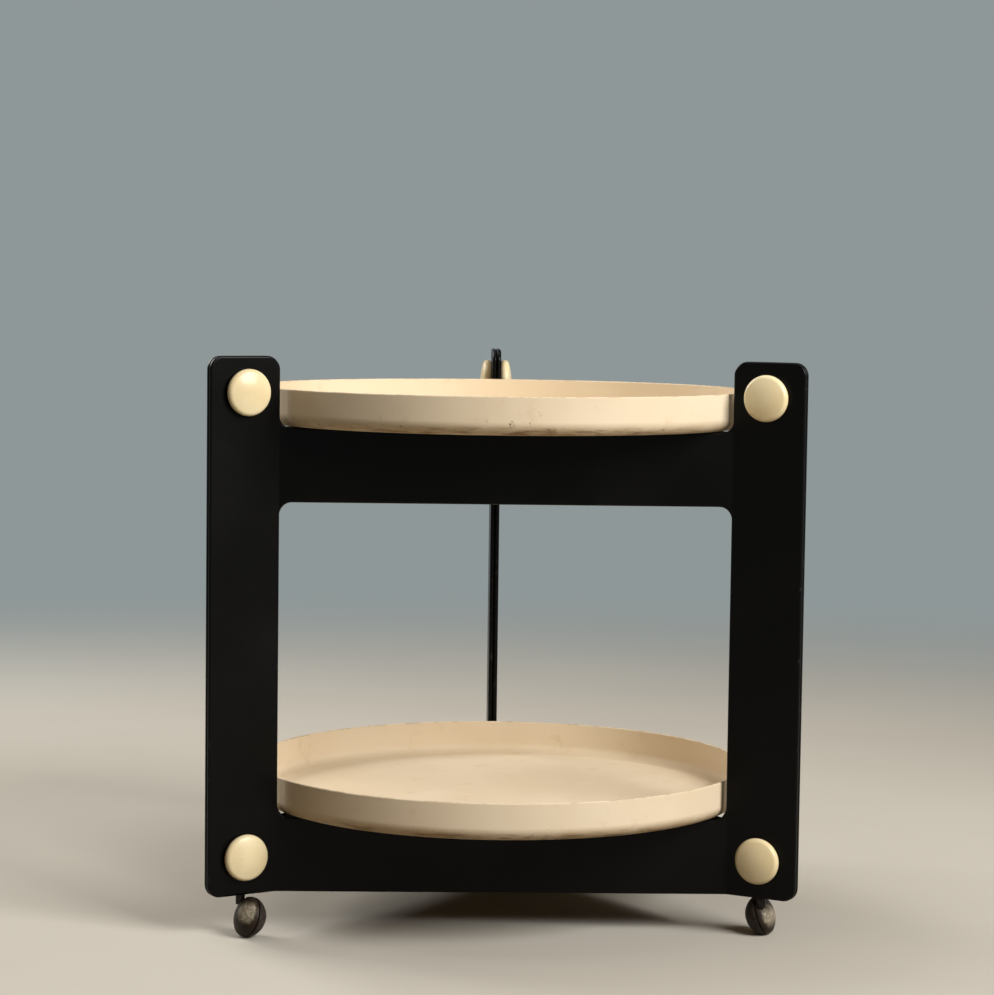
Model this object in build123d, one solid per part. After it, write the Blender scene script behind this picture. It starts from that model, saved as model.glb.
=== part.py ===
from build123d import *
import os
from math import atan2, cos, degrees, radians, sin, sqrt, tan

# Low round serving trolley with two loose trays. Three identical bent panels stand back to
# back in pairs and make three double-layer legs, clamped by round knobs on through studs.
# Each leg rolls on a hooded ball caster. Millimetres, +Z up. The origin is on the floor
# under the upright axis, and the front faces -Y.

# Trays
tray_radius = 250.0
tray_height = 36.8
tray_wall = 3.0
tray_floor = 3.0
tray_corner = 13.0
tray_lip_round = 1.2
tray_seat_gap = 0.2
tray_to_leg = 9.9

# Bent panels
panel_thickness = 4.8
bend_radius = 8.2
bend_overlap = 2.9
leg_width = 70.8
lower_band_height = 73.4
upper_band_height = 72.6
opening_height = 308.7
post_rise = 69.3
leg_bottom = 39.0
leg_corner = 13.0
opening_corner = 12.0
seat_corner = 10.0
edge_round = 1.9

# Knobs, their threaded inserts and the studs between them
knob_diameter = 45.4
knob_height = 12.6
knob_back_round = 4.8
knob_edge = 5.0
knob_inset_top = 35.0
knob_inset_bottom = 37.7
knob_inset_side = 38.4
stud_diameter = 6.0
stud_reach = 6.5
stud_hole_clearance = 0.2
insert_diameter = 9.0
insert_length = 7.6
thread_clearance = 0.05

# Hooded ball casters
ball_radius = 19.7
hood_rise = 12.2
hood_edge = 7.5
hood_wall = 1.4
hood_tilt = 19.0
wheel_rise = 16.4
wheel_edge = 9.0
split_gap = 1.2
caster_trail = 14.0
caster_side_offset = 2.0
caster_rest_turns = {"back": 5.0, "front_left": 1.0, "front_right": 10.0}
stem_inset = 36.9
stem_diameter = 5.0
stem_length = 26.0
stem_tail = 2.0
neck_diameter = 9.0
neck_length = 7.5
socket_wall = 0.8
socket_length = 28.0
socket_flange_diameter = 9.2
socket_flange = 1.2
swivel_clearance = 0.05
swivel_gap = 0.3
axle_diameter = 5.0
axle_head_diameter = 8.0
axle_head = 1.4
axle_seat = 7.0
hub_diameter = 13.0
hub_recess = 8.4
wheel_wall = 1.5
wheel_pole_cut = 1.6
running_clearance = 0.05
tread_start = 1.8
tread_width = 6.0
tread_depth = 3.8

# Plan of the three-sided frame, in degrees from +X, and the two panels that meet at each leg
half_corner = 30.0
leg_angles = {"back": 90.0, "front_left": 210.0, "front_right": 330.0}
panel_turns = {"front": 0.0, "right": 120.0, "left": 240.0}
leg_panels = {
    "back": ("right", "left"),
    "front_left": ("left", "front"),
    "front_right": ("front", "right"),
}

# How close two measured places have to be to count as one
touch = 0.01

# Worked out from the sizes above
leg_inner = tray_radius + tray_to_leg
leg_outer = leg_inner + leg_width
knob_line = leg_outer - knob_inset_side
stem_line = leg_outer - stem_inset
lower_band_top = leg_bottom + lower_band_height
opening_top = lower_band_top + opening_height
upper_band_top = opening_top + upper_band_height
leg_top = upper_band_top + post_rise
knob_levels = {"upper": leg_top - knob_inset_top, "lower": leg_bottom + knob_inset_bottom}
bend_start = leg_inner * cos(radians(half_corner)) - panel_thickness * sin(radians(half_corner))
opening_half_width = bend_start - bend_overlap
stem_hole_radius = stem_diameter / 2 + swivel_clearance
socket_radius = stem_hole_radius + socket_wall
neck_top = leg_bottom - socket_flange - swivel_gap
neck_bottom = neck_top - neck_length
stem_root = neck_bottom - hood_wall - stem_tail
wheel_pole = wheel_rise - wheel_pole_cut
groove_radius = ball_radius - tread_depth
wheel_reach = (ball_radius - wheel_edge) * cos(radians(hood_tilt)) + wheel_edge
axle_height = wheel_reach + split_gap / 2 * sin(radians(hood_tilt))


def save(shape, name):
    export_step(shape, f"parts/{name}.step")


def rod(radius, low, high):
    """Round bar about the Z axis between two heights."""
    return Pos(0, 0, low) * Cylinder(radius, high - low, align=(Align.CENTER, Align.CENTER, Align.MIN))


def sheet_path(offset, radius):
    """Plan line of the bent sheet, at a distance in front of its back face."""
    turn = radians(half_corner)
    corner = leg_inner - (bend_radius + panel_thickness) * tan(turn / 2)
    corner_x = corner * cos(turn) - offset * tan(turn / 2)
    corner_y = -corner * sin(turn) - offset
    end_x = leg_outer * cos(turn) - offset * sin(turn)
    end_y = -leg_outer * sin(turn) - offset * cos(turn)
    points = [(-end_x, end_y), (-corner_x, corner_y), (corner_x, corner_y), (end_x, end_y)]
    return FilletPolyline(*points, radius=radius)


def bent_sheet():
    """Full height of the sheet: a flat middle and a flange folded forward at each end."""
    back = sheet_path(0, bend_radius + panel_thickness)
    front = sheet_path(panel_thickness, bend_radius)
    ends = [Line(back @ 0, front @ 0), Line(back @ 1, front @ 1)]
    plan = make_face([*back.edges(), *front.edges(), *ends])
    sheet = extrude(Pos(0, 0, leg_bottom) * plan, leg_top - leg_bottom, dir=(0, 0, 1))
    corners = [edge for edge in sheet.edges() if abs(edge.length - panel_thickness) < touch]
    return fillet(corners, leg_corner)


def seat_outline():
    """Front outline of the notch between the posts, where the upper tray sits on the band."""
    lean = leg_corner * cos(radians(half_corner))
    side = opening_half_width
    above = leg_top + leg_corner
    right = [
        Line((0, upper_band_top), (side - seat_corner, upper_band_top)),
        CenterArc((side - seat_corner, upper_band_top + seat_corner), seat_corner, -90, 90),
        Line((side, upper_band_top + seat_corner), (side, leg_top - leg_corner)),
        EllipticalCenterArc((side + lean, leg_top - leg_corner), lean, leg_corner, 90, arc_size=90),
        Line((side + lean, leg_top), (side + lean, above)),
        Line((side + lean, above), (0, above)),
    ]
    left = [mirror(edge, about=Plane.YZ) for edge in right]
    return make_face([*right, *left])


def on_outline(edge):
    """True for the edges round the sheet and its cut-outs, on the front or the back face."""
    if edge.geom_type == GeomType.LINE:
        direction = edge.tangent_at(0.5)
        point = edge @ 0.5
        reach = sqrt(point.X ** 2 + point.Y ** 2)
        upright = abs(direction.Z) > 1 - touch
        level = abs(direction.Z) < touch
        at_cut = abs(abs(point.X) - opening_half_width) < touch or reach > leg_outer - touch
        across = edge.length < 2 * panel_thickness
        return at_cut if upright else level and not across
    return edge.length > panel_thickness / 2


def panel():
    """One bent panel, with its opening, tray seat, stud holes and caster grooves."""
    width = 2 * opening_half_width
    opening = RectangleRounded(width, opening_height, opening_corner)
    opening = Plane.XZ * Pos(0, (lower_band_top + opening_top) / 2) * opening
    shape = bent_sheet()
    shape -= extrude(opening, leg_outer, dir=(0, -1, 0))
    shape -= extrude(Plane.XZ * seat_outline(), leg_outer, dir=(0, -1, 0))
    shape = fillet([edge for edge in shape.edges() if on_outline(edge)], edge_round)
    for angle in (180 + half_corner, 360 - half_corner):
        leg = Rot(0, 0, angle)
        shape -= leg * Pos(stem_line, 0, 0) * rod(socket_radius, 0, leg_bottom + socket_length)
        for level in knob_levels.values():
            hole = Cylinder(stud_diameter / 2 + stud_hole_clearance, 4 * panel_thickness)
            shape -= leg * Pos(knob_line, 0, level) * Rot(90, 0, 0) * hole
    return shape


def tray():
    """Shallow round tray with an upright wall, turned about its axis from its section."""
    inner_corner = tray_corner - tray_wall
    inner = tray_radius - tray_wall
    outline = Polyline(
        (0, 0),
        (tray_radius, 0),
        (tray_radius, tray_height),
        (inner, tray_height),
        (inner, tray_floor),
        (0, tray_floor),
        close=True,
    )
    section = make_face(outline)
    outer_foot = [v for v in section.vertices() if v.X > inner + touch and v.Y < touch]
    section = fillet(outer_foot, tray_corner)
    inner_foot = [v for v in section.vertices() if abs(v.X - inner) < touch and v.Y < tray_height - touch]
    section = fillet(inner_foot, inner_corner)
    lip = [v for v in section.vertices() if v.Y > tray_height - touch]
    section = fillet(lip, tray_lip_round)
    return revolve(Plane.XZ * section, Axis.Z)


def dome_arcs(half_width, rise, edge, base):
    """Tangent arcs of a dome's section, from its widest point on a base line up to the axis."""
    reach = half_width - edge
    crown = (reach ** 2 + rise ** 2 - edge ** 2) / (2 * (rise - edge))
    lean = degrees(atan2(crown - rise, reach))
    return [
        CenterArc((reach, base), edge, 0, lean),
        CenterArc((0, base + rise - crown), crown, lean, 90 - lean),
    ]


def knob():
    """Domed knob with a rounded back edge and a blind hole for its insert."""
    radius = knob_diameter / 2
    hole = insert_diameter / 2 + thread_clearance
    foot = radius - knob_back_round
    outline = [
        Line((hole, 0), (foot, 0)),
        CenterArc((foot, knob_back_round), knob_back_round, -90, 90),
        *dome_arcs(radius, knob_height - knob_back_round, knob_edge, knob_back_round),
        Line((0, knob_height), (0, insert_length)),
        Line((0, insert_length), (hole, insert_length)),
        Line((hole, insert_length), (hole, 0)),
    ]
    return revolve(Plane.XZ * make_face(outline), Axis.Z)


def knob_insert():
    """Threaded bush moulded into the back of a knob."""
    grip = rod(insert_diameter / 2, 0, insert_length)
    return grip - rod(stud_diameter / 2 + thread_clearance, 0, stud_reach)


def stud():
    """Threaded rod through both flanges, with a chamfer at each end."""
    half = panel_thickness + stud_reach
    bar = rod(stud_diameter / 2, -half, half)
    return chamfer(bar.edges().filter_by(GeomType.CIRCLE), stud_diameter / 10)


def caster_dome(rise, edge, inset):
    """Solid dome on the split line, with its surface a distance inside the full one."""
    base = split_gap / 2
    radius = ball_radius - inset
    top = rise - inset
    outline = [
        Line((0, base), (radius, base)),
        *dome_arcs(radius, top - base, edge - inset, base),
        Line((0, top), (0, base)),
    ]
    return revolve(Plane.XZ * make_face(outline), Axis.Z)


def hood_dome(inset):
    """Solid cap in the form of the hood, a distance inside its surface."""
    return caster_dome(hood_rise, hood_edge, inset)


def wheel_dome():
    """Solid bowl in the form of the wheel, on the other side of the split."""
    return Rot(180, 0, 0) * caster_dome(wheel_rise, wheel_edge, 0)


def tilted(shape):
    """Turns a caster piece from the axle's line to its place beside the stem."""
    centre = Pos(-caster_trail, -caster_side_offset, axle_height)
    return centre * Rot(hood_tilt - 90, 0, 0) * shape


def caster_socket():
    """Flanged sleeve in the seam of the leg, in which the stem swivels."""
    sleeve = rod(socket_radius, leg_bottom, leg_bottom + socket_length)
    flange = rod(socket_flange_diameter / 2, leg_bottom - socket_flange, leg_bottom)
    return sleeve + flange - rod(stem_hole_radius, 0, leg_bottom + 2 * socket_length)


def caster_stem():
    """Pivot pin, with a thicker neck below the leg and a tail riveted through the hood."""
    pin = rod(stem_diameter / 2, stem_root, leg_bottom + stem_length)
    pin = chamfer(pin.edges().filter_by(GeomType.CIRCLE), stem_diameter / 10)
    neck = rod(neck_diameter / 2, neck_bottom, neck_top) - tilted(hood_dome(0))
    return pin + neck - tilted(hood_dome(hood_wall + stem_tail))


def caster_hood():
    """Domed metal cover with the axle's boss inside and a hole for the stem's tail."""
    shell = hood_dome(0) - hood_dome(hood_wall)
    boss = rod(axle_diameter / 2 + 2 * hood_wall, split_gap / 2, hood_rise)
    shell += boss & hood_dome(hood_wall / 2)
    shell -= rod(axle_diameter / 2, 0, axle_seat)
    return tilted(shell) - rod(stem_diameter / 2, stem_root, leg_bottom)


def caster_axle():
    """Inclined rivet from the boss in the hood through the wheel's hub."""
    shank = rod(axle_diameter / 2, -wheel_pole, axle_seat)
    return tilted(shank + rod(axle_head_diameter / 2, -wheel_pole, axle_head - wheel_pole))


def tread_ring():
    """Space of the soft tread: a band of the wheel down to the bottom of its groove."""
    band = rod(ball_radius, -tread_start - tread_width, -tread_start)
    return band - rod(groove_radius, -wheel_rise, 0)


def caster_tread():
    """Soft band on which the wheel rolls, flush with the wheel."""
    return tilted(tread_ring() & wheel_dome())


def caster_wheel():
    """Bowl-shaped wheel with a hub, a lightening recess and a groove for the tread."""
    body = wheel_dome() & rod(ball_radius, -wheel_pole, 0)
    body -= rod(groove_radius - wheel_wall, -hub_recess, 0) - rod(hub_diameter / 2, -hub_recess, 0)
    body -= tread_ring()
    body -= rod(axle_diameter / 2 + running_clearance, -wheel_rise, 0)
    head_seat = axle_head + running_clearance - wheel_pole
    body -= rod(axle_head_diameter / 2 + running_clearance, -wheel_rise, head_seat)
    return tilted(body)


os.makedirs("parts", exist_ok=True)

panel_shape = panel()
for side, turn in panel_turns.items():
    save(Rot(0, 0, turn) * panel_shape, f"{side}_panel")

tray_shape = tray()
save(Pos(0, 0, upper_band_top + tray_seat_gap) * tray_shape, "upper_tray")
save(Pos(0, 0, lower_band_top + tray_seat_gap) * tray_shape, "lower_tray")

knob_shape = knob()
insert_shape = knob_insert()
stud_shape = stud()
caster_pieces = {
    "stem": caster_stem(),
    "hood": caster_hood(),
    "axle": caster_axle(),
    "wheel": caster_wheel(),
    "tread": caster_tread(),
}
socket_shape = caster_socket()
for leg, angle in leg_angles.items():
    at_knobs = Rot(0, 0, angle) * Pos(knob_line, 0, 0)
    inserts = []
    for level, height in knob_levels.items():
        at_stud = at_knobs * Pos(0, 0, height)
        save(at_stud * Rot(90, 0, 0) * stud_shape, f"{leg}_{level}_stud")
        for side, facing in zip(leg_panels[leg], (90, -90)):
            on_panel = at_stud * Rot(facing, 0, 0) * Pos(0, 0, panel_thickness)
            save(on_panel * knob_shape, f"{leg}_{level}_knob_{side}")
            inserts.append(on_panel * insert_shape)
    save(Compound(children=inserts), f"{leg}_knob_inserts")
    at_stem = Rot(0, 0, angle) * Pos(stem_line, 0, 0)
    save(at_stem * socket_shape, f"{leg}_caster_socket")
    at_caster = at_stem * Rot(0, 0, caster_rest_turns[leg] - 90)
    for piece, shape in caster_pieces.items():
        save(at_caster * shape, f"{leg}_caster_{piece}")
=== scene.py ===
from math import atan2, cos, degrees, pi, radians, sin, tan

import bpy
from mathutils import Matrix, Vector


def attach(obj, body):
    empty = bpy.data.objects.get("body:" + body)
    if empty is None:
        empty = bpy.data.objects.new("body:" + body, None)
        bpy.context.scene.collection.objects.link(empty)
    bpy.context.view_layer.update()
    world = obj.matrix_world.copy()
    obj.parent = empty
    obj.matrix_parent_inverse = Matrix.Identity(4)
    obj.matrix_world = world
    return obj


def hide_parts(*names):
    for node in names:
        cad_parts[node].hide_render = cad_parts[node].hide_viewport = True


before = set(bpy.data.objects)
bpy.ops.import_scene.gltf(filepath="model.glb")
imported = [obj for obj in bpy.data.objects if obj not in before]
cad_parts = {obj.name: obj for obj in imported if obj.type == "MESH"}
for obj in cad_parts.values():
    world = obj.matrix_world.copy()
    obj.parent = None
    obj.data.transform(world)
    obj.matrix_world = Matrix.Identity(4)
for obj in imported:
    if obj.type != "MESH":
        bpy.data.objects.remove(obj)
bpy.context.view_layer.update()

# Sizes of the cart, in millimetres
MM = 0.001
tray_radius = 250.0
tray_height = 36.8
tray_wall = 3.0
tray_floor = 3.0
tray_corner = 13.0
tray_lip_round = 1.2
tray_seat_gap = 0.2
panel_thickness = 4.8
bend_radius = 8.2
leg_inner = 259.9
leg_width = 70.8
leg_outer = leg_inner + leg_width
knob_inset = 38.4
knob_line = leg_outer - knob_inset
stem_inset = 36.9
stem_line = leg_outer - stem_inset
opening_half_width = 219.78
leg_bottom = 39.0
lower_band_top = 112.4
opening_top = 421.1
upper_band_top = 493.7
leg_top = 563.0
leg_corner = 13.0
opening_corner = 12.0
seat_corner = 10.0
edge_round = 1.9
knob_diameter = 45.4
knob_height = 12.6
knob_back_round = 4.8
knob_edge = 5.0
upper_knob_drop = 35.0
lower_knob_rise = 37.7
knob_levels = {"upper": leg_top - upper_knob_drop, "lower": leg_bottom + lower_knob_rise}
ball_radius = 19.7
hood_rise = 12.2
hood_edge = 7.5
hood_wall = 1.4
hood_tilt = 19.0
wheel_rise = 16.4
wheel_edge = 9.0
split_gap = 1.2
caster_trail = 14.0
caster_side_offset = 2.0
caster_rest_turns = {"back": 5.0, "front_left": 1.0, "front_right": 10.0}
pole_cut = 1.6
wheel_pole = wheel_rise - pole_cut
hub_rim = 1.6
hub_slope = 2.2
hub_dish = 0.9
tread_start = 1.8
tread_width = 6.0
tread_end = tread_start + tread_width
groove_depth = 3.8
groove_radius = ball_radius - groove_depth
wheel_land = 3.0
weld_reach = 0.002
fold_steps = 6
tray_steps = 180
floor_rings = (60, 120, 180)
cap_steps = 72

fold = radians(30)
leg_angles = {"back": 90.0, "front_left": 210.0, "front_right": 330.0}
panel_turns = {"front": 0.0, "right": 120.0, "left": 240.0}
leg_panels = {
    "back": ("right", "left"),
    "front_left": ("left", "front"),
    "front_right": ("front", "right"),
}


def nothing_selected():
    """Object mode with nothing picked, before a new piece is added."""
    bpy.ops.object.select_all(action="DESELECT")


def arc(centre, radius, start, end, pieces):
    """Points along a round corner of an outline, from one angle to another in degrees."""
    points = []
    for i in range(pieces + 1):
        angle = radians(start + (end - start) * i / pieces)
        points.append((centre[0] + radius * cos(angle), centre[1] + radius * sin(angle)))
    return points


def dome(half_width, rise, edge, base, pieces):
    """Outline of a domed cap: a small round at its rim that runs into a wide crown."""
    reach = half_width - edge
    crown = (reach ** 2 + rise ** 2 - edge ** 2) / (2 * (rise - edge))
    lean = degrees(atan2(crown - rise, reach))
    rim = arc((reach, base), edge, 0, lean, pieces)
    top = arc((0, base + rise - crown), crown, lean, 90, pieces)
    return rim + top[1:]


def turned(name, outline, steps):
    """Piece turned about the upright axis from an outline of radius and height points."""
    nothing_selected()
    bpy.ops.mesh.primitive_plane_add(size=MM)
    piece = bpy.context.object
    piece.name = name
    piece.data.name = name
    bpy.ops.object.mode_set(mode="EDIT")
    bpy.ops.mesh.select_all(action="SELECT")
    bpy.ops.mesh.merge(type="CENTER")
    radius, height = outline[0]
    bpy.ops.transform.translate(value=(radius * MM, 0, height * MM))
    for here, there in zip(outline, outline[1:]):
        step = ((there[0] - here[0]) * MM, 0, (there[1] - here[1]) * MM)
        bpy.ops.mesh.extrude_region_move(TRANSFORM_OT_translate={"value": step})
    bpy.ops.mesh.select_all(action="SELECT")
    bpy.ops.mesh.spin(steps=steps, angle=2 * pi, center=(0, 0, 0), axis=(0, 0, 1))
    bpy.ops.mesh.select_all(action="SELECT")
    bpy.ops.mesh.remove_doubles(threshold=weld_reach * MM)
    bpy.ops.mesh.normals_make_consistent(inside=False)
    bpy.ops.object.mode_set(mode="OBJECT")
    return piece


def smooth(piece, angle=35):
    """Soft shading over the rounds, with the flats kept flat."""
    nothing_selected()
    piece.select_set(True)
    bpy.context.view_layer.objects.active = piece
    bpy.ops.object.shade_smooth_by_angle(angle=radians(angle))
    even = piece.modifiers.new("even_faces", "WEIGHTED_NORMAL")
    even.mode = "FACE_AREA"
    even.keep_sharp = True
    bpy.ops.object.modifier_apply(modifier=even.name)


def placed(pattern, name, place):
    """Copy of a modelled piece with its own mesh, set in its place on the cart."""
    piece = pattern.copy()
    piece.data = pattern.data.copy()
    piece.name = name
    piece.data.name = name
    bpy.context.scene.collection.objects.link(piece)
    nothing_selected()
    piece.matrix_world = place
    piece.select_set(True)
    bpy.context.view_layer.objects.active = piece
    bpy.ops.object.transform_apply(location=True, rotation=True, scale=False)
    return piece


def put_away(pattern):
    """Drops a modelled pattern once its copies are made."""
    bpy.data.objects.remove(pattern, do_unlink=True)


def sits(piece, body, node, finish):
    """The piece stands for a solid of the frame, moves with its body and takes its finish."""
    piece.data.materials.clear()
    piece.data.materials.append(finish)
    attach(piece, body)
    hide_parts(node)


def turn_z(angle):
    return Matrix.Rotation(radians(angle), 4, "Z")


def turn_x(angle):
    return Matrix.Rotation(radians(angle), 4, "X")


def shift(x, y, z):
    return Matrix.Translation(Vector((x, y, z)) * MM)


# Finishes


class Finish:
    """A material with its shader, and short ways to add the patterns in it."""

    def __init__(self, name):
        self.material = bpy.data.materials.new(name)
        self.material.use_nodes = True
        self.tree = self.material.node_tree
        self.shader = self.tree.nodes["Principled BSDF"]
        self.place = self.tree.nodes.new("ShaderNodeTexCoord").outputs["Object"]

    def set(self, **values):
        for socket, value in values.items():
            self.shader.inputs[socket.replace("_", " ")].default_value = value

    def link(self, source, socket):
        self.tree.links.new(source, socket)

    def give(self, source, socket):
        self.link(source, self.shader.inputs[socket])

    def feed(self, value, socket):
        if isinstance(value, (int, float)):
            socket.default_value = value
        elif isinstance(value, (tuple, list)):
            socket.default_value = (*value, 1.0) if len(value) == 3 else value
        else:
            self.link(value, socket)

    def maths(self, operation, first, second=0.0):
        node = self.tree.nodes.new("ShaderNodeMath")
        node.operation = operation
        self.feed(first, node.inputs[0])
        self.feed(second, node.inputs[1])
        return node.outputs[0]

    def stretched(self, scale, turn=(0, 0, 0), offset=(0, 0, 0)):
        node = self.tree.nodes.new("ShaderNodeMapping")
        node.inputs["Location"].default_value = offset
        node.inputs["Rotation"].default_value = turn
        node.inputs["Scale"].default_value = scale
        self.link(self.place, node.inputs["Vector"])
        return node.outputs["Vector"]

    def cloud(self, scale, detail=4.0, roughness=0.55, place=None):
        node = self.tree.nodes.new("ShaderNodeTexNoise")
        node.inputs["Scale"].default_value = scale
        node.inputs["Detail"].default_value = detail
        node.inputs["Roughness"].default_value = roughness
        self.link(place or self.place, node.inputs["Vector"])
        return node.outputs["Fac"]

    def ramp(self, value, low, high, start=0.0, end=1.0):
        node = self.tree.nodes.new("ShaderNodeMapRange")
        node.interpolation_type = "SMOOTHSTEP"
        node.inputs["From Min"].default_value = low
        node.inputs["From Max"].default_value = high
        node.inputs["To Min"].default_value = start
        node.inputs["To Max"].default_value = end
        self.link(value, node.inputs["Value"])
        return node.outputs["Result"]

    def blend(self, amount, under, over):
        node = self.tree.nodes.new("ShaderNodeMix")
        node.data_type = "RGBA"
        self.feed(amount, node.inputs["Factor"])
        self.feed(under, node.inputs["A"])
        self.feed(over, node.inputs["B"])
        return node.outputs["Result"]

    def relief(self, height, depth, strength=1.0, over=None):
        node = self.tree.nodes.new("ShaderNodeBump")
        node.inputs["Strength"].default_value = strength
        node.inputs["Distance"].default_value = depth * MM
        self.link(height, node.inputs["Height"])
        if over is not None:
            self.link(over, node.inputs["Normal"])
        return node.outputs["Normal"]

    def axes(self):
        node = self.tree.nodes.new("ShaderNodeSeparateXYZ")
        self.link(self.place, node.inputs["Vector"])
        return node.outputs["X"], node.outputs["Y"], node.outputs["Z"]

    def reach(self):
        """Distance from the cart's upright axis."""
        x, y, _ = self.axes()
        square = self.maths("ADD", self.maths("MULTIPLY", x, x), self.maths("MULTIPLY", y, y))
        return self.maths("SQRT", square)


def lacquer_finish():
    """Black gloss lacquer with soft smudges, hairline scratches and rubbed edges."""
    f = Finish("black_lacquer_gloss")
    f.set(Specular_IOR_Level=0.11)
    rim = f.tree.nodes.new("ShaderNodeAttribute")
    rim.attribute_name = "rubbed_edge"
    smudge = f.cloud(9.0, 5.0)
    haze = f.maths("MULTIPLY", f.ramp(smudge, 0.45, 0.75), 0.35)
    colour = f.blend(haze, (0.0018, 0.0016, 0.0013), (0.0038, 0.0034, 0.0029))
    rub = f.ramp(f.cloud(60.0, 6.0, 0.7), 0.58, 0.68)
    worn = f.maths("MULTIPLY", f.maths("MULTIPLY", rub, rim.outputs["Fac"]), 0.75)
    colour = f.blend(worn, colour, (0.030, 0.024, 0.019))
    dust = f.ramp(f.cloud(900.0, 2.0), 0.73, 0.80)
    colour = f.blend(f.maths("MULTIPLY", dust, 0.18), colour, (0.07, 0.066, 0.062))
    f.give(colour, "Base Color")
    hair = f.cloud(1.0, 3.0, place=f.stretched((900.0, 900.0, 14.0), (0.0, 0.35, 0.0)))
    scratch = f.ramp(hair, 0.70, 0.78)
    rough = f.ramp(smudge, 0.30, 0.80, 0.28, 0.42)
    rough = f.maths("ADD", rough, f.maths("MULTIPLY", scratch, 0.12))
    rough = f.maths("ADD", rough, f.maths("MULTIPLY", worn, 0.25))
    f.give(rough, "Roughness")
    peel = f.relief(f.cloud(380.0, 2.0), 0.02, 0.35)
    f.give(f.relief(scratch, -0.01, 0.4, peel), "Normal")
    return f.material


def tray_finish(name, foot, seed):
    """Aged cream coat on a tray: yellowed patches, stained and chipped foot, rubbed lip, and
    painted shade in the ring where its floor meets its inner wall.
    """
    f = Finish(name)
    f.set(Specular_IOR_Level=0.10)
    place = f.stretched((1, 1, 1), offset=(seed, 0.37 * seed, 0.0))
    _, y, z = f.axes()
    height = f.maths("SUBTRACT", z, foot * MM)
    reach = f.reach()
    past = f.maths("MAXIMUM", f.maths("SUBTRACT", reach, (tray_radius - tray_corner) * MM), 0.0)
    under = f.maths("MAXIMUM", f.maths("SUBTRACT", tray_corner * MM, height), 0.0)
    skin = f.maths("ADD", f.maths("MULTIPLY", past, past), f.maths("MULTIPLY", under, under))
    outside = f.ramp(f.maths("SQRT", skin), (tray_corner - 1.8) * MM, (tray_corner - 0.8) * MM)
    age = f.cloud(5.0, 4.0, place=place)
    colour = f.blend(f.ramp(age, 0.35, 0.70), (0.81, 0.685, 0.505), (0.76, 0.62, 0.435))
    fleck = f.ramp(f.cloud(42.0, 5.0, 0.65, place), 0.56, 0.74)
    colour = f.blend(f.maths("MULTIPLY", fleck, 0.30), colour, (0.62, 0.45, 0.27))
    soak = f.maths("MULTIPLY", f.ramp(height, 0.0140, 0.0035), outside)
    damp = f.ramp(f.cloud(16.0, 4.0, 0.6, place), 0.30, 0.62, 0.15, 0.60)
    soak = f.maths("MULTIPLY", soak, damp)
    colour = f.blend(soak, colour, (0.47, 0.315, 0.145))
    foot_zone = f.maths("MULTIPLY", f.ramp(height, 0.0105, 0.0030), outside)
    foot_zone = f.maths("MULTIPLY", foot_zone, f.ramp(height, 0.0002, 0.0010))
    knocked = f.ramp(y, -0.15, -0.25, 0.35, 1.0)
    long_way = f.stretched((1.0, 1.0, 7.0), offset=(seed, 0.0, 0.0))
    scuff = f.ramp(f.cloud(30.0, 6.0, 0.72, long_way), 0.46, 0.62)
    scuffed = f.maths("MULTIPLY", f.maths("MULTIPLY", foot_zone, scuff), knocked)
    colour = f.blend(f.maths("MULTIPLY", scuffed, 0.76), colour, (0.245, 0.135, 0.055))
    chip_near = f.maths("MULTIPLY", f.ramp(height, 0.026, 0.006), outside)
    chip = f.ramp(f.cloud(105.0, 5.0, 0.62, place), 0.665, 0.71)
    chip = f.maths("MULTIPLY", chip, chip_near)
    colour = f.blend(f.maths("MULTIPLY", chip, 0.85), colour, (0.085, 0.050, 0.028))
    lip = f.ramp(height, (tray_height - 1.4) * MM, (tray_height - 0.3) * MM)
    lip_rub = f.maths("MULTIPLY", lip, f.ramp(f.cloud(55.0, 5.0, 0.7, place), 0.46, 0.62))
    colour = f.blend(f.maths("MULTIPLY", lip_rub, 0.55), colour, (0.45, 0.31, 0.17))
    # Painted shade: a darker ring on the floor where it runs into the inner wall.
    inner_corner_shade = f.maths("MULTIPLY", f.ramp(reach, 0.2335, 0.2405), f.ramp(height, 0.0095, 0.0045))
    inner_corner_shade = f.maths("MULTIPLY", inner_corner_shade, f.maths("SUBTRACT", 1.0, outside))
    colour = f.blend(f.maths("MULTIPLY", inner_corner_shade, 0.22), colour, (0.46, 0.33, 0.19))
    f.give(colour, "Base Color")
    rough = f.ramp(f.cloud(14.0, 5.0, place=place), 0.30, 0.75, 0.58, 0.70)
    rough = f.maths("ADD", rough, f.maths("MULTIPLY", scuffed, 0.20))
    f.give(rough, "Roughness")
    ripple = f.relief(f.cloud(70.0, 3.0, place=place), 0.05, 0.25)
    ripple = f.relief(f.cloud(620.0, 2.0, place=place), 0.012, 0.3, ripple)
    f.give(f.relief(chip, -0.12, 0.8, ripple), "Normal")
    return f.material


def knob_finish():
    """Ivory gloss, yellowed in soft patches, with faint waves and small brown spots."""
    f = Finish("ivory_knob_gloss")
    f.set(Specular_IOR_Level=0.4, Coat_Weight=0.08, Coat_Roughness=0.14)
    f.set(Subsurface_Weight=0.06, Subsurface_Scale=0.004)
    age = f.cloud(22.0, 4.0)
    colour = f.blend(f.ramp(age, 0.35, 0.68), (0.88, 0.755, 0.475), (0.83, 0.675, 0.39))
    spot = f.ramp(f.cloud(210.0, 4.0, 0.6), 0.66, 0.74)
    colour = f.blend(f.maths("MULTIPLY", spot, 0.35), colour, (0.50, 0.36, 0.18))
    f.give(colour, "Base Color")
    f.give(f.ramp(f.cloud(30.0, 5.0), 0.3, 0.75, 0.24, 0.42), "Roughness")
    wave = f.relief(f.cloud(75.0, 3.0), 0.10, 0.35)
    f.give(f.relief(f.cloud(700.0, 2.0), 0.012, 0.3, wave), "Normal")
    return f.material


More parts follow.
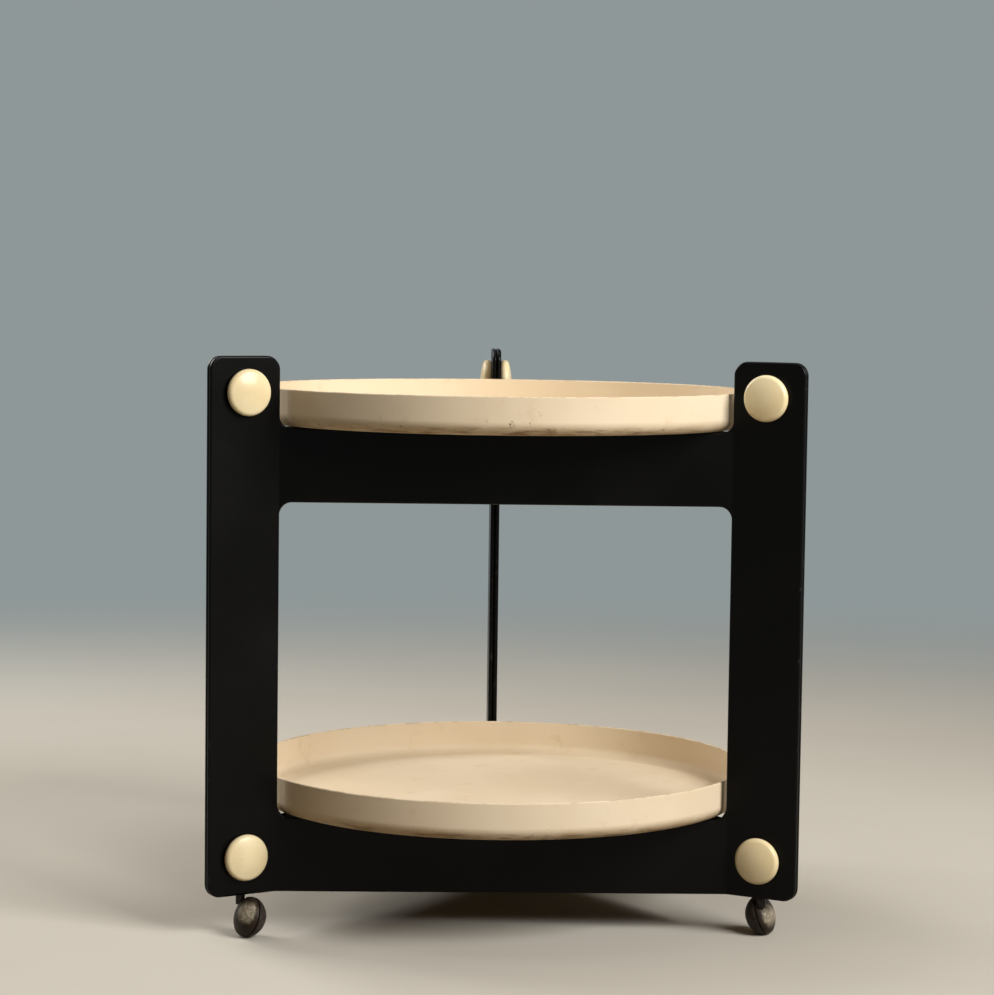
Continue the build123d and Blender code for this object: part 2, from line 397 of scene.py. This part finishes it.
def hood_finish():
    """Old plated steel, mottled on its crown, which is rubbed bright and partly lit by a painted
    highlight; its rim is brown, partly with dirt and partly with painted shade, and it darkens
    towards its bottom and towards its top, where painted shade of the leg mixes with dirt.
    """
    f = Finish("worn_and_lit_hood_steel")
    f.set(Metallic=0.3, Specular_IOR_Level=0.2)
    crown = f.tree.nodes.new("ShaderNodeAttribute")
    crown.attribute_name = "worn_and_lit_crown"
    _, _, height = f.axes()
    patchy = f.ramp(f.cloud(120.0, 5.0, 0.65), 0.30, 0.70, -0.12, 0.10)
    # Share of the bright crown: rubbed wear mixed with a painted highlight, off the dark rim of
    # dirt and painted shade.
    rubbed = f.ramp(f.maths("ADD", crown.outputs["Fac"], patchy), 0.05, 0.55)
    # Darker towards the bottom of the hood, and towards its top, where it is painted shade of the
    # leg above, partly dirt.
    rubbed = f.maths("MULTIPLY", rubbed, f.ramp(height, 0.007, 0.020))
    rubbed = f.maths("MULTIPLY", rubbed, f.ramp(height, 0.0370, 0.0300))
    mottle = f.ramp(f.cloud(330.0, 5.0, 0.65), 0.36, 0.66)
    bright = f.blend(mottle, (0.27, 0.225, 0.160), (0.56, 0.49, 0.38))
    colour = f.blend(rubbed, (0.026, 0.017, 0.011), bright)
    speck = f.ramp(f.cloud(520.0, 4.0, 0.6), 0.55, 0.68)
    colour = f.blend(f.maths("MULTIPLY", speck, 0.5), colour, (0.045, 0.033, 0.022))
    f.give(colour, "Base Color")
    f.give(f.ramp(f.cloud(110.0, 5.0), 0.3, 0.7, 0.58, 0.44), "Roughness")
    pit = f.relief(f.cloud(480.0, 4.0), -0.05, 0.5)
    f.give(f.relief(f.cloud(95.0, 3.0), 0.12, 0.4, pit), "Normal")
    return f.material


def wheel_finish():
    """Hard dark wheel, dulled by dust."""
    f = Finish("dark_wheel_hard")
    f.set(Specular_IOR_Level=0.3)
    dust = f.ramp(f.cloud(120.0, 5.0, 0.65), 0.42, 0.72)
    colour = f.blend(f.maths("MULTIPLY", dust, 0.6), (0.011, 0.0075, 0.004), (0.034, 0.025, 0.016))
    f.give(colour, "Base Color")
    f.give(f.ramp(f.cloud(190.0, 4.0), 0.3, 0.7, 0.38, 0.58), "Roughness")
    f.give(f.relief(f.cloud(520.0, 3.0), 0.03, 0.4), "Normal")
    return f.material


def tread_finish():
    """Soft tread, greyed with floor dust."""
    f = Finish("soft_tread_rubber")
    f.set(Specular_IOR_Level=0.3)
    dust = f.ramp(f.cloud(160.0, 6.0, 0.7), 0.38, 0.70)
    colour = f.blend(dust, (0.014, 0.010, 0.007), (0.050, 0.038, 0.028))
    f.give(colour, "Base Color")
    f.give(f.ramp(f.cloud(240.0, 4.0), 0.3, 0.7, 0.62, 0.82), "Roughness")
    f.give(f.relief(f.cloud(760.0, 3.0), 0.05, 0.6), "Normal")
    return f.material


def bare_metal_finish(name, bright, dull, scale):
    """Plain metal with handling marks, for the studs, bushes, sleeves and pins."""
    f = Finish(name)
    f.set(Metallic=1.0)
    mark = f.ramp(f.cloud(scale, 5.0, 0.6), 0.35, 0.70)
    f.give(f.blend(mark, bright, dull), "Base Color")
    f.give(f.ramp(f.cloud(2 * scale, 4.0), 0.3, 0.7, 0.26, 0.46), "Roughness")
    f.give(f.relief(f.cloud(5 * scale, 3.0), 0.02, 0.4), "Normal")
    return f.material


# Bent panels


def closed_loop(outline, points):
    """Adds one closed run of points to a flat outline."""
    run = outline.splines.new("POLY")
    run.points.add(len(points) - 1)
    for point, (x, y) in zip(run.points, points):
        point.co = (x * MM, y * MM, 0, 1)
    run.use_cyclic_u = True


corner_line = leg_inner - (bend_radius + panel_thickness) * tan(fold / 2)
front_corner = corner_line * cos(fold) - panel_thickness * tan(fold / 2)
front_face = -corner_line * sin(fold) - panel_thickness
flat_half = front_corner - bend_radius * tan(fold / 2)
bend_end = flat_half + bend_radius * fold
sheet_half = bend_end + leg_width


def mirrored(right):
    """Adds the left half of an outline to its right half, given from bottom to top."""
    return right + [(-x, y) for x, y in reversed(right)]


def flat_sheet():
    """The panel before it is bent: a plate with rounded edges, an opening and a tray seat."""
    outline = bpy.data.curves.new("panel_sheet", "CURVE")
    outline.dimensions = "2D"
    outline.fill_mode = "BOTH"
    outline.extrude = (panel_thickness / 2 - edge_round) * MM
    outline.bevel_depth = edge_round * MM
    outline.bevel_resolution = 4
    outline.offset = -edge_round * MM
    inner = sheet_half - leg_corner
    post = opening_half_width + leg_corner
    seat = opening_half_width - seat_corner
    right = (
        arc((inner, leg_bottom + leg_corner), leg_corner, -90, 0, 10)
        + arc((inner, leg_top - leg_corner), leg_corner, 0, 90, 10)
        + arc((post, leg_top - leg_corner), leg_corner, 90, 180, 10)
        + arc((seat, upper_band_top + seat_corner), seat_corner, 0, -90, 10)
    )
    closed_loop(outline, mirrored(right))
    side = opening_half_width - opening_corner
    right = (
        arc((side, lower_band_top + opening_corner), opening_corner, -90, 0, 10)
        + arc((side, opening_top - opening_corner), opening_corner, 0, 90, 10)
    )
    closed_loop(outline, mirrored(right))
    sheet = bpy.data.objects.new("panel_sheet", outline)
    bpy.context.scene.collection.objects.link(sheet)
    nothing_selected()
    sheet.select_set(True)
    bpy.context.view_layer.objects.active = sheet
    bpy.ops.object.convert(target="MESH")
    return bpy.context.object


def score_folds():
    """Cuts the plate just made across at each step of its two bends."""
    bpy.ops.object.mode_set(mode="EDIT")
    for side in (-1, 1):
        for i in range(fold_steps + 1):
            line = side * (flat_half + (bend_end - flat_half) * i / fold_steps)
            bpy.ops.mesh.select_all(action="SELECT")
            bpy.ops.mesh.bisect(plane_co=(line * MM, 0, 0), plane_no=(1, 0, 0))
    bpy.ops.mesh.select_all(action="SELECT")
    bpy.ops.mesh.remove_doubles(threshold=weld_reach * MM)
    bpy.ops.mesh.normals_make_consistent(inside=False)
    bpy.ops.object.mode_set(mode="OBJECT")


def bent_place(along, depth):
    """Plan place of a point on the bent sheet, from its place along and behind the flat one."""
    side = -1 if along < 0 else 1
    run = abs(along)
    if run <= flat_half:
        return side * run, front_face + depth
    turn = min((run - flat_half) / bend_radius, fold)
    round_x = flat_half + (bend_radius + depth) * sin(turn)
    round_y = front_face - bend_radius + (bend_radius + depth) * cos(turn)
    beyond = max(run - bend_end, 0)
    return side * (round_x + beyond * cos(fold)), round_y - beyond * sin(fold)


def bend(sheet):
    """Folds both ends of the plate forward and marks its rounded edges for wear."""
    rub = sheet.data.attributes.new("rubbed_edge", "FLOAT", "POINT")
    half = panel_thickness / 2
    for vertex in sheet.data.vertices:
        along, up, out = vertex.co / MM
        rub.data[vertex.index].value = 0.0 if abs(out) > half - 0.01 else 1.0
        x, y = bent_place(along, half - out)
        vertex.co = Vector((x, y, up)) * MM
    sheet.data.update()


lacquer = lacquer_finish()
panel_pattern = flat_sheet()
score_folds()
bend(panel_pattern)
for side, turn in panel_turns.items():
    sheet = placed(panel_pattern, f"{side}_panel_sheet", turn_z(turn))
    smooth(sheet)
    sits(sheet, "frame", f"{side}_panel", lacquer)
put_away(panel_pattern)

# Trays

inner = tray_radius - tray_wall
inner_corner = tray_corner - tray_wall
lip = tray_radius - tray_lip_round
inner_lip = inner + tray_lip_round
lip_level = tray_height - tray_lip_round
tray_outline = (
    [(0, 0)]
    + [(ring, 0) for ring in floor_rings]
    + arc((tray_radius - tray_corner, tray_corner), tray_corner, -90, 0, 12)
    + arc((lip, lip_level), tray_lip_round, 0, 90, 5)
    + arc((inner_lip, lip_level), tray_lip_round, 90, 180, 5)
    + arc((inner - inner_corner, tray_floor + inner_corner), inner_corner, 0, -90, 12)
    + [(ring, tray_floor) for ring in reversed(floor_rings)]
    + [(0, tray_floor)]
)
tray_pattern = turned("tray_shell", tray_outline, tray_steps)
for level, seat, seed in (("upper", upper_band_top, 1.3), ("lower", lower_band_top, 4.1)):
    foot = seat + tray_seat_gap
    shell = placed(tray_pattern, f"{level}_tray_shell", shift(0, 0, foot))
    smooth(shell, 50)
    enamel = tray_finish(f"{level}_tray_cream", foot, seed)
    sits(shell, f"{level}_tray", f"{level}_tray", enamel)
put_away(tray_pattern)

# Knobs

knob_radius = knob_diameter / 2
knob_foot = knob_radius - knob_back_round
knob_outline = (
    [(0, 0), (knob_foot / 2, 0)]
    + arc((knob_foot, knob_back_round), knob_back_round, -90, 0, 8)
    + dome(knob_radius, knob_height - knob_back_round, knob_edge, knob_back_round, 14)[1:]
)
ivory = knob_finish()
knob_pattern = turned("knob_cap", knob_outline, cap_steps)
for leg, angle in leg_angles.items():
    for level, height in knob_levels.items():
        for side, facing in zip(leg_panels[leg], (90, -90)):
            knob = f"{leg}_{level}_knob_{side}"
            place = turn_z(angle) @ shift(knob_line, 0, height) @ turn_x(facing)
            cap = placed(knob_pattern, f"{knob}_cap", place @ shift(0, 0, panel_thickness))
            smooth(cap, 50)
            sits(cap, "frame", knob, ivory)
put_away(knob_pattern)

# Casters

split = split_gap / 2
inside_radius = ball_radius - hood_wall
inside_rise = hood_rise - hood_wall - split
hood_inside = dome(inside_radius, inside_rise, hood_edge - hood_wall, split, 12)
hood_outline = dome(ball_radius, hood_rise - split, hood_edge, split, 12) + hood_inside[::-1]
wheel_face = dome(ball_radius, wheel_rise - split, wheel_edge, split, 24)


def face_radius(depth):
    """Radius of the wheel's face at a depth below the split."""
    for (near, high), (far, low) in zip(wheel_face, wheel_face[1:]):
        if high <= depth <= low:
            return near + (far - near) * (depth - high) / (low - high)


def face_run(start, end):
    """Points on the wheel's face between two depths below the split."""
    between = [(radius, -depth) for radius, depth in wheel_face if start < depth < end]
    return [(face_radius(start), -start)] + between + [(face_radius(end), -end)]


pole_radius = face_radius(wheel_pole)
wheel_outline = (
    [(0, -split), (groove_radius - wheel_land, -split)]
    + face_run(split, tread_start)
    + [(groove_radius, -tread_start), (groove_radius, -tread_end)]
    + face_run(tread_end, wheel_pole)
    + [(pole_radius - hub_rim, -wheel_pole), (pole_radius - hub_slope, hub_dish - wheel_pole)]
    + [(0, hub_dish - wheel_pole)]
)
tread_outline = (
    [(groove_radius, -tread_start)]
    + face_run(tread_start, tread_end)
    + [(groove_radius, -tread_end), (groove_radius, -tread_start)]
)

# Dark rim of each hood, as a share of its radius: partly dirt and partly painted shade.
dirty_shaded_rim = 0.14
rub_and_highlight_reach = 0.9 * ball_radius
# Centres of each hood's bright crown: partly rubbed wear and partly a painted highlight, set on
# the side of each front hood that faces the key lamp.
rub_and_highlight_spots = {"back": (0.0, 0.0), "front_left": (-11.0, -8.0), "front_right": (7.0, 3.5)}


def mark_rub_and_highlight(hood, spot):
    """Notes on a hood where its crown is rubbed and lit: most at the spot, partly wear and partly
    a painted highlight, and not at the dark rim, partly dirt and partly painted shade.
    """
    shine = hood.data.attributes.get("worn_and_lit_crown")
    if shine is None:
        shine = hood.data.attributes.new("worn_and_lit_crown", "FLOAT", "POINT")
    for vertex in hood.data.vertices:
        place = vertex.co.xy / MM
        clear_of_dark_rim = min(max((1 - place.length / ball_radius) / dirty_shaded_rim, 0), 1)
        near = max(1 - (place - Vector(spot)).length / rub_and_highlight_reach, 0)
        shine.data[vertex.index].value = clear_of_dark_rim * near


hood_metal = hood_finish()
hard_wheel = wheel_finish()
soft_tread = tread_finish()
hood_pattern = turned("hood_dome", hood_outline, cap_steps)
wheel_pattern = turned("wheel_bowl", wheel_outline, cap_steps)
tread_pattern = turned("tread_band", tread_outline, cap_steps)
caster_patterns = {
    "hood": (hood_pattern, "caster", "worn_hood_metal", hood_metal),
    "wheel": (wheel_pattern, "wheel", "dark_wheel", hard_wheel),
    "tread": (tread_pattern, "wheel", "rubber_tread", soft_tread),
}
lean = radians(hood_tilt)
axle_height = (ball_radius - wheel_edge) * cos(lean) + wheel_edge + split * sin(lean)
axle_line = shift(-caster_trail, -caster_side_offset, axle_height) @ turn_x(hood_tilt - 90)
for leg, angle in leg_angles.items():
    at_stem = turn_z(angle) @ shift(stem_line, 0, 0) @ turn_z(caster_rest_turns[leg] - 90)
    mark_rub_and_highlight(hood_pattern, rub_and_highlight_spots[leg])
    for part, (pattern, body, slot, finish) in caster_patterns.items():
        piece = placed(pattern, f"{leg}_caster_{part}_turned", at_stem @ axle_line)
        smooth(piece, 40)
        sits(piece, f"{leg}_{body}", f"{leg}_caster_{part}", finish)
for pattern, *_ in caster_patterns.values():
    put_away(pattern)

# Solids of the frame that show as they are

steel = bare_metal_finish("bright_steel", (0.56, 0.55, 0.53), (0.38, 0.37, 0.35), 140.0)
brass = bare_metal_finish("brass_bush", (0.66, 0.50, 0.24), (0.46, 0.33, 0.15), 160.0)
dark_steel = bare_metal_finish(
    "darkened_steel", (0.030, 0.027, 0.024), (0.014, 0.012, 0.010), 150.0
)
kept = {
    "stud": steel,
    "inserts": brass,
    "socket": dark_steel,
    "stem": dark_steel,
    "axle": dark_steel,
}
for name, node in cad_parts.items():
    for word, metal in kept.items():
        if name.endswith(word):
            node.data.materials.clear()
            node.data.materials.append(metal)

# Floor, light and camera

backdrop_tone = (0.275, 0.312, 0.314)
floor_radius = 40
fade_start, fade_end = 0.9, 3.0


def plainly_seen(tree):
    """1 for rays that show the floor and backdrop, 0 for those that only carry light."""
    ray = tree.nodes.new("ShaderNodeLightPath").outputs
    total = ray["Is Camera Ray"]
    for kind in ("Is Glossy Ray", "Is Transmission Ray"):
        node = tree.nodes.new("ShaderNodeMath")
        node.operation = "ADD"
        node.use_clamp = True
        tree.links.new(total, node.inputs[0])
        tree.links.new(ray[kind], node.inputs[1])
        total = node.outputs[0]
    return total


nothing_selected()
bpy.ops.mesh.primitive_circle_add(
    vertices=96, radius=floor_radius, fill_type="NGON", location=(0, 0, 0)
)
floor = bpy.context.object
floor.name = "studio_floor"
paving = Finish("pale_floor")
paving.set(Specular_IOR_Level=0.1, Roughness=0.8)
patch = paving.ramp(paving.cloud(1.6, 5.0), 0.3, 0.7)
pale = paving.blend(patch, (0.53, 0.50, 0.44), (0.56, 0.53, 0.47))
paving.give(paving.blend(plainly_seen(paving.tree), (0.22, 0.185, 0.14), pale), "Base Color")
haze = paving.tree.nodes.new("ShaderNodeEmission")
haze.inputs["Color"].default_value = (*backdrop_tone, 1.0)
far_off = paving.tree.nodes.new("ShaderNodeMixShader")
paving.link(paving.ramp(paving.reach(), fade_start, fade_end), far_off.inputs["Fac"])
paving.link(paving.shader.outputs["BSDF"], far_off.inputs[1])
paving.link(haze.outputs["Emission"], far_off.inputs[2])
paving.link(far_off.outputs["Shader"], paving.tree.nodes["Material Output"].inputs["Surface"])
floor.data.materials.append(paving.material)

world = bpy.data.worlds.new("studio_world")
bpy.context.scene.world = world
world.use_nodes = True
air = world.node_tree
fill_light = air.nodes["Background"]
fill_light.inputs["Color"].default_value = (1.0, 0.66, 0.34, 1.0)
fill_light.inputs["Strength"].default_value = 0.10
backdrop = air.nodes.new("ShaderNodeBackground")
backdrop.inputs["Color"].default_value = (*backdrop_tone, 1.0)
either = air.nodes.new("ShaderNodeMixShader")
air.links.new(plainly_seen(air), either.inputs["Fac"])
air.links.new(fill_light.outputs["Background"], either.inputs[1])
air.links.new(backdrop.outputs["Background"], either.inputs[2])
air.links.new(either.outputs["Shader"], air.nodes["World Output"].inputs["Surface"])

lamp_size = 1.6
lamp_tone = (1.0, 0.985, 0.96)
aim_height = 0.3


def soft_lamp(name, azimuth, elevation, distance, level):
    """Square soft lamp aimed at the cart; azimuth 0 is the front and 90 the cart's right."""
    lamp = bpy.data.lights.new(name, "AREA")
    lamp.size = lamp_size
    lamp.energy = (pi * distance) ** 2 * level
    lamp.color = lamp_tone
    holder = bpy.data.objects.new(name, lamp)
    bpy.context.scene.collection.objects.link(holder)
    turn, rise = radians(azimuth), radians(elevation)
    back = Vector((sin(turn) * cos(rise), -cos(turn) * cos(rise), sin(rise)))
    holder.location = Vector((0, 0, aim_height)) + distance * back
    holder.rotation_mode = "QUATERNION"
    holder.rotation_quaternion = (-back).to_track_quat("-Z", "Y")
    holder.visible_camera = False


soft_lamp("key_lamp", azimuth=46, elevation=32, distance=3.2, level=1.20)
soft_lamp("side_lamp", azimuth=233, elevation=32, distance=3.2, level=0.70)
soft_lamp("top_lamp", azimuth=250, elevation=78, distance=2.8, level=0.22)

picture_height = 995
focal_pixels = 2788.29
sensor = 36
view_place = (-84.81, -2831.03, 630.99)
view_turn, view_tilt, view_roll = -0.0281, 0.0750, 0.0130
view = bpy.data.cameras.new("photo_view")
view.sensor_width = sensor
view.lens = focal_pixels / picture_height * sensor
camera = bpy.data.objects.new("photo_view", view)
bpy.context.scene.collection.objects.link(camera)
bpy.context.scene.camera = camera
aim = Matrix.Rotation(view_turn, 4, "Z") @ Matrix.Rotation(pi / 2 - view_tilt, 4, "X")
camera.matrix_world = shift(*view_place) @ aim @ Matrix.Rotation(view_roll, 4, "Z")
bpy.context.scene.view_settings.view_transform = "Standard"
